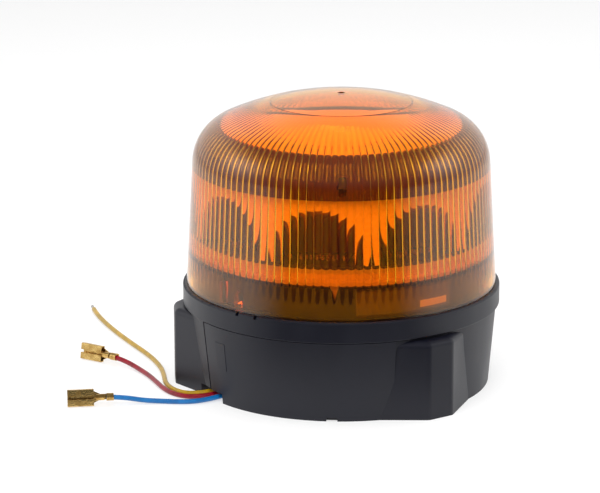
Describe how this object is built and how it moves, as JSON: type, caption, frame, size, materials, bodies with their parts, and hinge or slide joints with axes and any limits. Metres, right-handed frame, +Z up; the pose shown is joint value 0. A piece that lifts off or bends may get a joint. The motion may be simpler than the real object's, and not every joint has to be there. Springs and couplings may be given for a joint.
{
  "type": "warning beacon",
  "caption": "Amber fluted warning beacon on a round three-lobed base with short connection leads and a twist-off lens.",
  "frame": {"origin": "the beacon's axis at the plane that the base stands on, the centre of the three mounting inserts", "axes": "+Z up along the lens axis; -X towards the mounting lobe beside the leads; -Y is the front, with the label"},
  "size_m": [0.2026, 0.1946, 0.1359],
  "materials": {
    "black_nylon": "moulded glass-filled nylon, fine grain",
    "black_rubber": "soft rubber",
    "steel": "zinc plated",
    "brass": "stamped or turned brass",
    "label_film": "printed polyester film, blank",
    "amber_lens": "clear amber polycarbonate, fluted inside",
    "white_plastic": "white moulded plastic",
    "aluminium": "plain aluminium",
    "board_black": "black solder mask",
    "board_green": "green solder mask",
    "led_package": "yellow phosphor in a white package",
    "cable_grey": "flat cable insulation",
    "reflector": "metallised moulding",
    "dark_plastic": "dark moulded plastic",
    "can_sleeve": "shrink sleeve on aluminium can",
    "ferrite": "ferrite drum",
    "chip_black": "moulded package",
    "lead_yellow": "PVC insulation",
    "lead_red": "PVC insulation",
    "lead_blue": "PVC insulation",
    "tinned_copper": "tinned strands"
  },
  "bodies": {
    "base": {"foot_housing": "black_nylon", "foot_cover": "black_nylon", "foot_cover_screws": "steel", "vent_plug": "black_rubber", "mounting_inserts": "brass", "deck_housing": "black_nylon", "housing_screws": "steel", "rating_label": "label_film", "module_carrier": "white_plastic", "heat_spreader": "aluminium", "led_board": "board_black", "led_chips": "led_package", "link_socket": "white_plastic", "board_link": "cable_grey", "carrier_pillars": "aluminium", "module_screws": "steel", "reflector_screws": "steel", "reflector_ring": "reflector", "crown_ring": "dark_plastic", "crown_plate": "white_plastic", "crown_plate_screw": "white_plastic", "crown_screws": "steel", "driver_board": "board_green", "driver_standoffs": "aluminium", "driver_screws": "steel", "driver_capacitors": "can_sleeve", "driver_inductor": "ferrite", "driver_chips": "chip_black", "yellow_lead": "lead_yellow", "red_lead": "lead_red", "blue_lead": "lead_blue", "yellow_lead_tip": "tinned_copper", "lead_gland": "black_rubber", "lead_tails": "cable_grey", "lead_block": "white_plastic", "red_terminal": "brass", "blue_terminal": "brass"},
    "seal": {"lens_seal": "black_rubber"},
    "lens": {"lens_dome": "amber_lens"}
  },
  "joints": [
    {"name": "lens_lift", "type": "slide", "parent": "base", "child": "seal", "axis": [0, 0, 1], "range_m": [0, 0.16]},
    {"name": "lens_twist", "type": "hinge", "parent": "seal", "child": "lens", "pos_m": [0, 0, 0.047], "axis": [0, 0, 1], "range_deg": [0, 12]}
  ]
}
